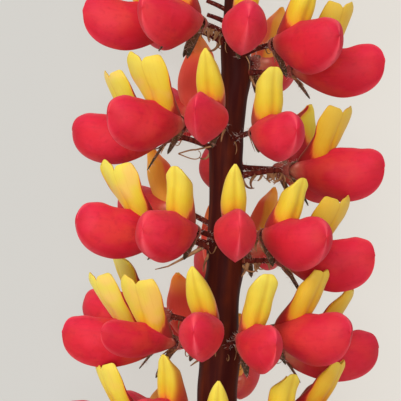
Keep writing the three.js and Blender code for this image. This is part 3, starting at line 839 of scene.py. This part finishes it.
def tuftPaths():  # short dark blades in a tuft under each calyx, and bunches of withered ones on some stalks
    chance, paths = np.random.default_rng(tuft["seed"]), []
    for flower in allFlowers:
        stalk, size = pedicelPath(flower)[0], flower["size"]
        for _ in range(bunch["blades"].get(flower["node"], 0)):
            paths.append(bractPath(flower, stalk[chance.integers(3, len(stalk))], bunch, chance))
        for place in range(0 if flower["node"] in tuft["bare"] else tuft["blades"]):
            across = (place - 1) * tuft["apart"] + chance.uniform(-0.2, 0.2)
            start = flower["turn"] @ np.array([chance.uniform(0.6, 1.6), across, -0.9]) * size
            kind = {**tuft, "thickness": tuft["thickness"] * size}
            paths.append(bractPath(flower, flower["foot"] + start, kind, chance))
    return paths


def bractPaths():
    withered = ([origin + np.array([x, y, 1.2]) for x, y, r in strand], [r for x, y, r in strand])
    paths = tuftPaths() + [loopPath(), withered]
    for index, flower in enumerate(allFlowers):
        stalk = pedicelPath(flower)[0]
        paths.append(bractPath(flower, stalk[-4], thread, luck))
        paths.append(bractPath(flower, stalk[1], blade if index % 2 else curled, luck))
    return paths


bracts = grow(stalks, curveObject("bract_paths", bractPaths()), "bracts", Sides=5, Material=bractSkin)
standFor(bracts, ["stem"])
print("calyces, pedicels and bracts ready")


stem = {"rows": 260, "cols": 40, "ribs": 7, "ribDepth": 0.018, "node": 0.05, "pith": 0.86}


def stemPiece():
    y, angle = np.meshgrid(np.linspace(spike["cutEnd"], spike["tip"], stem["rows"]),
                           np.linspace(0, 2 * math.pi, stem["cols"], endpoint=False), indexing="ij")
    radius = curveThrough(spike["radii"], y)
    swell = sum(hump(y, w["height"] - 2.5, 1.6) for w in whorls)
    radius = radius * (1 + stem["ribDepth"] * np.cos(stem["ribs"] * angle + 0.02 * y) + stem["node"] * swell
                       + 0.01 * np.sin(0.31 * y + 2 * angle))
    points = np.stack([origin[0] + stemBow(y) + radius * np.sin(angle),
                       origin[1] + y, origin[2] + radius * np.cos(angle)], axis=-1)
    uv = np.stack([angle / (2 * math.pi), (y - spike["cutEnd"]) / (spike["tip"] - spike["cutEnd"])], axis=-1)
    parts = [gridPart(points, uv, closed=True)]
    for row, flip in ((0, True), (-1, False)):  # the cut face and the hidden tip
        rim = points[row]
        centre = rim.mean(0)
        rings = np.stack([rim] + [centre + (rim - centre) * share for share in (stem["pith"], 0.5, 0.001)])
        parts.append(gridPart(rings, np.zeros(rings.shape[:2] + (2,)), flip=flip, closed=True))
    piece = buildMesh("stem_bark", parts, [stemSkin, pithSkin])
    cutY = (origin[1] + spike["cutEnd"]) * mm
    pithReach = spike["radii"][0][1] * stem["pith"] * mm
    for face in piece.data.polygons:
        fromMiddle = math.hypot(face.center.x - cutCentre.x * mm, face.center.z - cutCentre.z * mm)
        face.material_index = int(face.center.y < cutY + 0.001 * mm and fromMiddle < pithReach)
    return piece


standFor(stemPiece(), ["stem"])
print("stem ready")


tip = {
    "count": 66, "from": 64.5, "to": 91.0, "length": (9.5, 3.0), "radius": (1.5, 0.6), "lean": (60, 6),
    "outline": [(0, 0.3), (0.15, 0.34), (0.28, 0.75), (0.45, 1.0), (0.56, 0.98), (0.62, 0.84), (0.78, 0.7),
                (0.92, 0.4), (1, 0.02)],
    "rows": 18, "cols": 14,
}


def budSkin():  # closed buds: downy sepals as dull as the calyces, and the petals' tips just showing
    material, tree = newMaterial("closedBud")
    uv = addNode(tree, "ShaderNodeUVMap", uv_map="growth")
    along = addNode(tree, "ShaderNodeSeparateXYZ", {0: uv}).outputs[1]
    place = addNode(tree, "ShaderNodeTexCoord").outputs["Object"]
    height = addNode(tree, "ShaderNodeSeparateXYZ", {0: place}).outputs[1]
    # the upper buds are still green-brown
    young = addNode(tree, "ShaderNodeMath", {0: height, 1: 45, 2: -3.35},
                    operation="MULTIPLY_ADD", use_clamp=True)
    # down in spots 0.5 mm across, coarser than real down so that it shows
    down = addNode(tree, "ShaderNodeTexNoise", {"Vector": place, "Scale": 2.2 / mm, "Detail": 3})
    base = addNode(tree, "ShaderNodeValToRGB", {0: along}, stops=[
        (0.0, "#5a2a20"), (0.3, "#6e4430"), (0.52, "#847248"), (0.6, "#c2942e"), (0.78, "#b8402e"),
        (1.0, "#8e2026")])
    base = layered(tree, base, ("#7a7044", "MIX", young), ("#a9906a", "MIX", (down, [(0.5, 0), (0.75, 0.4)])))
    relief = addNode(tree, "ShaderNodeBump", {"Height": down, "Strength": 0.4, "Distance": 0.08 * mm})
    return endMaterial(material, {"Base Color": base, "Roughness": 0.65, "Normal": relief})


def budShape():  # one bud a unit long along X: a thin foot, a hairy calyx and the petal tip just showing
    s, angle = np.meshgrid(np.linspace(0, 1, tip["rows"]),
                           np.linspace(0, 2 * math.pi, tip["cols"], endpoint=False), indexing="ij")
    radius = curveThrough(tip["outline"], s) * (1 + 0.08 * np.cos(2 * angle))
    points = np.stack([s, radius * np.sin(angle), radius * np.cos(angle)], axis=-1) / mm
    uv = np.stack([angle / (2 * math.pi), s], axis=-1)
    shape = buildMesh("budShape", [gridPart(points, uv, closed=True)], [])
    bpy.context.collection.objects.unlink(shape)
    return shape


def budPiece():
    places, turns, sizes = [], [], []
    for i in range(tip["count"]):  # a spiral, closing up towards the tip
        s = i / (tip["count"] - 1)
        length, radius, lean = (np.interp(s, (0, 1), tip[key]) for key in ("length", "radius", "lean"))
        turn = flowerTurn(137.5 * i, 90 - lean * luck.uniform(0.9, 1.1))
        places.append(stemPoint(tip["from"] + (tip["to"] - tip["from"]) * s ** 0.92) * mm)
        turns.append(Matrix(turn.tolist()).to_euler())
        sizes.append((length * luck.uniform(0.9, 1.05) * mm, radius * mm, radius * mm))
    mesh = bpy.data.meshes.new("bud_points")
    mesh.from_pydata([tuple(p) for p in places], [], [])
    for label, values in (("turn", turns), ("size", sizes)):
        layer = mesh.attributes.new(label, "FLOAT_VECTOR", "POINT")
        layer.data.foreach_set("vector", np.array([tuple(v) for v in values], dtype=np.float32).ravel())
    spots = bpy.data.objects.new("bud_points", mesh)
    return grow(budTree(), spots, "buds", Bud=budShape(), Material=budSkin())


buds = standFor(budPiece(), ["stem"])
standFor(downOn(buds, 9), ["stem"])
print("buds ready")


def floorPiece():  # a pale panel, lit softly from below as on a light table, so the shadows on it stay faint
    bpy.ops.mesh.primitive_plane_add(size=3)
    floor = bpy.context.object
    floor.name = "floor"
    material, tree = newMaterial("palePanel")  # frosted plastic: matt; its glow is set in bands across X, dimmer left of the middle and brighter right of it, a painted light falloff
    place = addNode(tree, "ShaderNodeTexCoord").outputs["Object"]
    across = addNode(tree, "ShaderNodeSeparateXYZ", {0: place})
    share = addNode(tree, "ShaderNodeMath", {0: across, 1: 2.4, 2: 0.5}, operation="MULTIPLY_ADD")
    glow = addNode(tree, "ShaderNodeValToRGB", {0: share}, stops=[
        (0.1, "#d0cdc6"), (0.4, "#c5c3bd"), (0.6, "#dbd6cd"), (0.9, "#d0cdc6")])
    floor.data.materials.append(endMaterial(material, {
        "Emission Color": glow, "Emission Strength": 1.0, "Base Color": "#505050", "Roughness": 0.9,
        "Specular IOR Level": 0.1}))
    floor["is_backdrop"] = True


room = {
    "lamps": {  # name: place, size, watts, colour
        "windowLight": ((-1.3, 1.5, 2.4), 1.2, 54, "#fffaf4"),
        "fillLight": ((0.0, -0.1, 3.2), 1.2, 44, "#fbfbff")},
    "aim": (0, 0, 0.02), "sky": "#f4f3f1", "skyStrength": 0.57,
}


def lightStage():
    for name, (place, size, watts, colour) in room["lamps"].items():
        lamp = bpy.data.lights.new(name, "AREA")
        lamp.size, lamp.energy, lamp.color = size, watts, hexColour(colour)[:3]
        holder = bpy.data.objects.new(name, lamp)
        bpy.context.collection.objects.link(holder)
        holder.location = place
        holder.rotation_euler = (Vector(room["aim"]) - Vector(place)).to_track_quat("-Z", "Y").to_euler()
    world = bpy.data.worlds.new("softRoom")
    world.use_nodes = True
    bpy.context.scene.world = world
    sky = next(n for n in world.node_tree.nodes if n.type == "BACKGROUND")
    sky.inputs["Color"].default_value = hexColour(room["sky"])
    sky.inputs["Strength"].default_value = room["skyStrength"]


view = {"distance": 350.0, "frame": 66.2, "roll": 2.7, "across": -4.37, "along": 0.0, "sensor": 36.0}


def setCamera():  # straight down on the middle whorls, the stem a little right of centre and leaning right
    lens = bpy.data.cameras.new("camera")
    camera = bpy.data.objects.new("camera", lens)
    bpy.context.collection.objects.link(camera)
    lens.sensor_width = view["sensor"]
    lens.lens = view["sensor"] * view["distance"] / view["frame"]
    roll = math.radians(view["roll"])
    aim = stemPoint(view["along"]) + view["across"] * np.array([math.cos(roll), math.sin(roll), 0])
    camera.location = (aim + np.array([0, 0, view["distance"]])) * mm
    camera.rotation_euler = (0, 0, roll)
    lens.clip_start, lens.clip_end = 0.01, 10
    bpy.context.scene.camera = camera


floorPiece()
lightStage()
setCamera()
bpy.context.scene.view_settings.view_transform = "Standard"

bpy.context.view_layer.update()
meshes = [o.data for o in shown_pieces() if o.type == "MESH"]
print("triangles", sum(len(m.loop_triangles) or len(m.polygons) * 2 for m in meshes))
